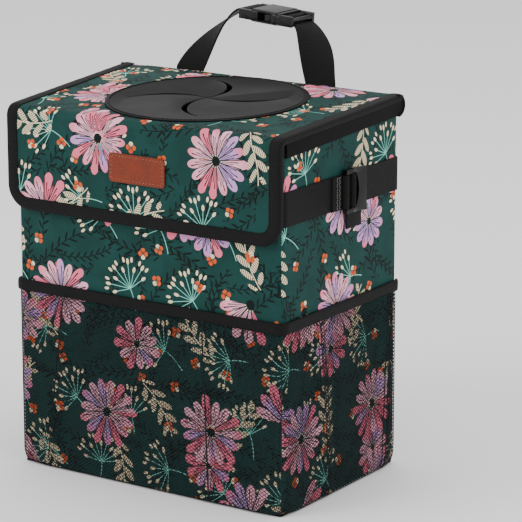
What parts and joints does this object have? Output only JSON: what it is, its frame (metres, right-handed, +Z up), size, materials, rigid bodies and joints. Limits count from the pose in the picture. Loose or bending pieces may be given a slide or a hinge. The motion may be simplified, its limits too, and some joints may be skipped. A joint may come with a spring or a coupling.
{
  "type": "car trash bin",
  "caption": "Soft-sided car trash bin of printed cloth with a bound fold-over lid, pinwheel litter insert, net pockets, adjustable belt and buckled webbing handle.",
  "frame": {"origin": "centre of the base's underside, on the floor", "axes": "+X to the right seen from the front, +Y to the back, which lies against a seat, +Z up"},
  "size_m": [0.2647, 0.2073, 0.3394],
  "materials": {
    "printed_cloth": "floral print on teal green, plain weave",
    "black_cloth": "black, plain weave",
    "binding": "black ribbed tape",
    "webbing": "black woven webbing",
    "net": "black knitted net",
    "lining": "dark grey smooth lining",
    "board": "plain stiffener board, hidden",
    "liner": "grey waterproof film, low sheen",
    "hook_and_loop": "black hook and loop",
    "insert_rubber": "dark grey, satin",
    "buckle_plastic": "black moulded, satin",
    "leather": "tan leather, semi matt"
  },
  "bodies": {
    "bin": {"base_panel": "black_cloth", "front_panel": "printed_cloth", "back_panel": "printed_cloth", "left_panel": "printed_cloth", "right_panel": "printed_cloth", "base_board": "board", "front_board": "board", "back_board": "board", "left_board": "board", "right_board": "board", "liner": "liner", "rim_binding": "binding", "loop_tape": "hook_and_loop", "front_net": "net", "left_net": "net", "right_net": "net", "front_net_band": "binding", "left_net_band": "binding", "right_net_band": "binding", "waist_belt": "webbing", "belt_stub": "webbing", "belt_turn": "webbing", "belt_tail": "webbing", "handle_strap_left": "webbing", "handle_strap_right": "webbing", "buckle_housing": "buckle_plastic", "lid_hinge_cloth": "printed_cloth"},
    "lid": {"lid_cloth": "printed_cloth", "lid_board": "board", "lid_lining": "lining", "lid_insert": "insert_rubber", "lid_binding_left": "binding", "lid_binding_right": "binding", "lid_skirt_left": "black_cloth", "lid_skirt_right": "black_cloth", "flap_fold": "printed_cloth", "flap_fold_binding": "binding"},
    "flap": {"flap_cloth": "printed_cloth", "flap_board": "board", "flap_lining": "lining", "flap_binding": "binding", "hook_tape": "hook_and_loop", "leather_patch": "leather"},
    "plug": {"buckle_plug": "buckle_plastic", "buckle_prongs": "buckle_plastic"},
    "lock": {"ladder_lock": "buckle_plastic"}
  },
  "joints": [
    {"name": "lid_hinge", "type": "hinge", "parent": "bin", "child": "lid", "pos_m": [0, 0.0796, 0.28703], "axis": [-1, 0, 0], "range_deg": [0, 95], "deforming": ["lid_hinge_cloth"]},
    {"name": "flap_hinge", "type": "hinge", "parent": "lid", "child": "flap", "pos_m": [0, -0.0774, 0.27206], "axis": [-1, 0, 0], "range_deg": [0, 87], "deforming": ["flap_fold", "flap_fold_binding"]},
    {"name": "buckle_release", "type": "slide", "parent": "bin", "child": "plug", "axis": [0.9976, 0, -0.0698], "range_m": [0, 0.028], "deforming": ["buckle_prongs", "handle_strap_right"]},
    {"name": "lock_tilt", "type": "hinge", "parent": "bin", "child": "lock", "pos_m": [0.1234, -0.002, 0.2283], "axis": [0, 0, -1], "range_deg": [0, 30], "deforming": ["belt_turn"]}
  ]
}
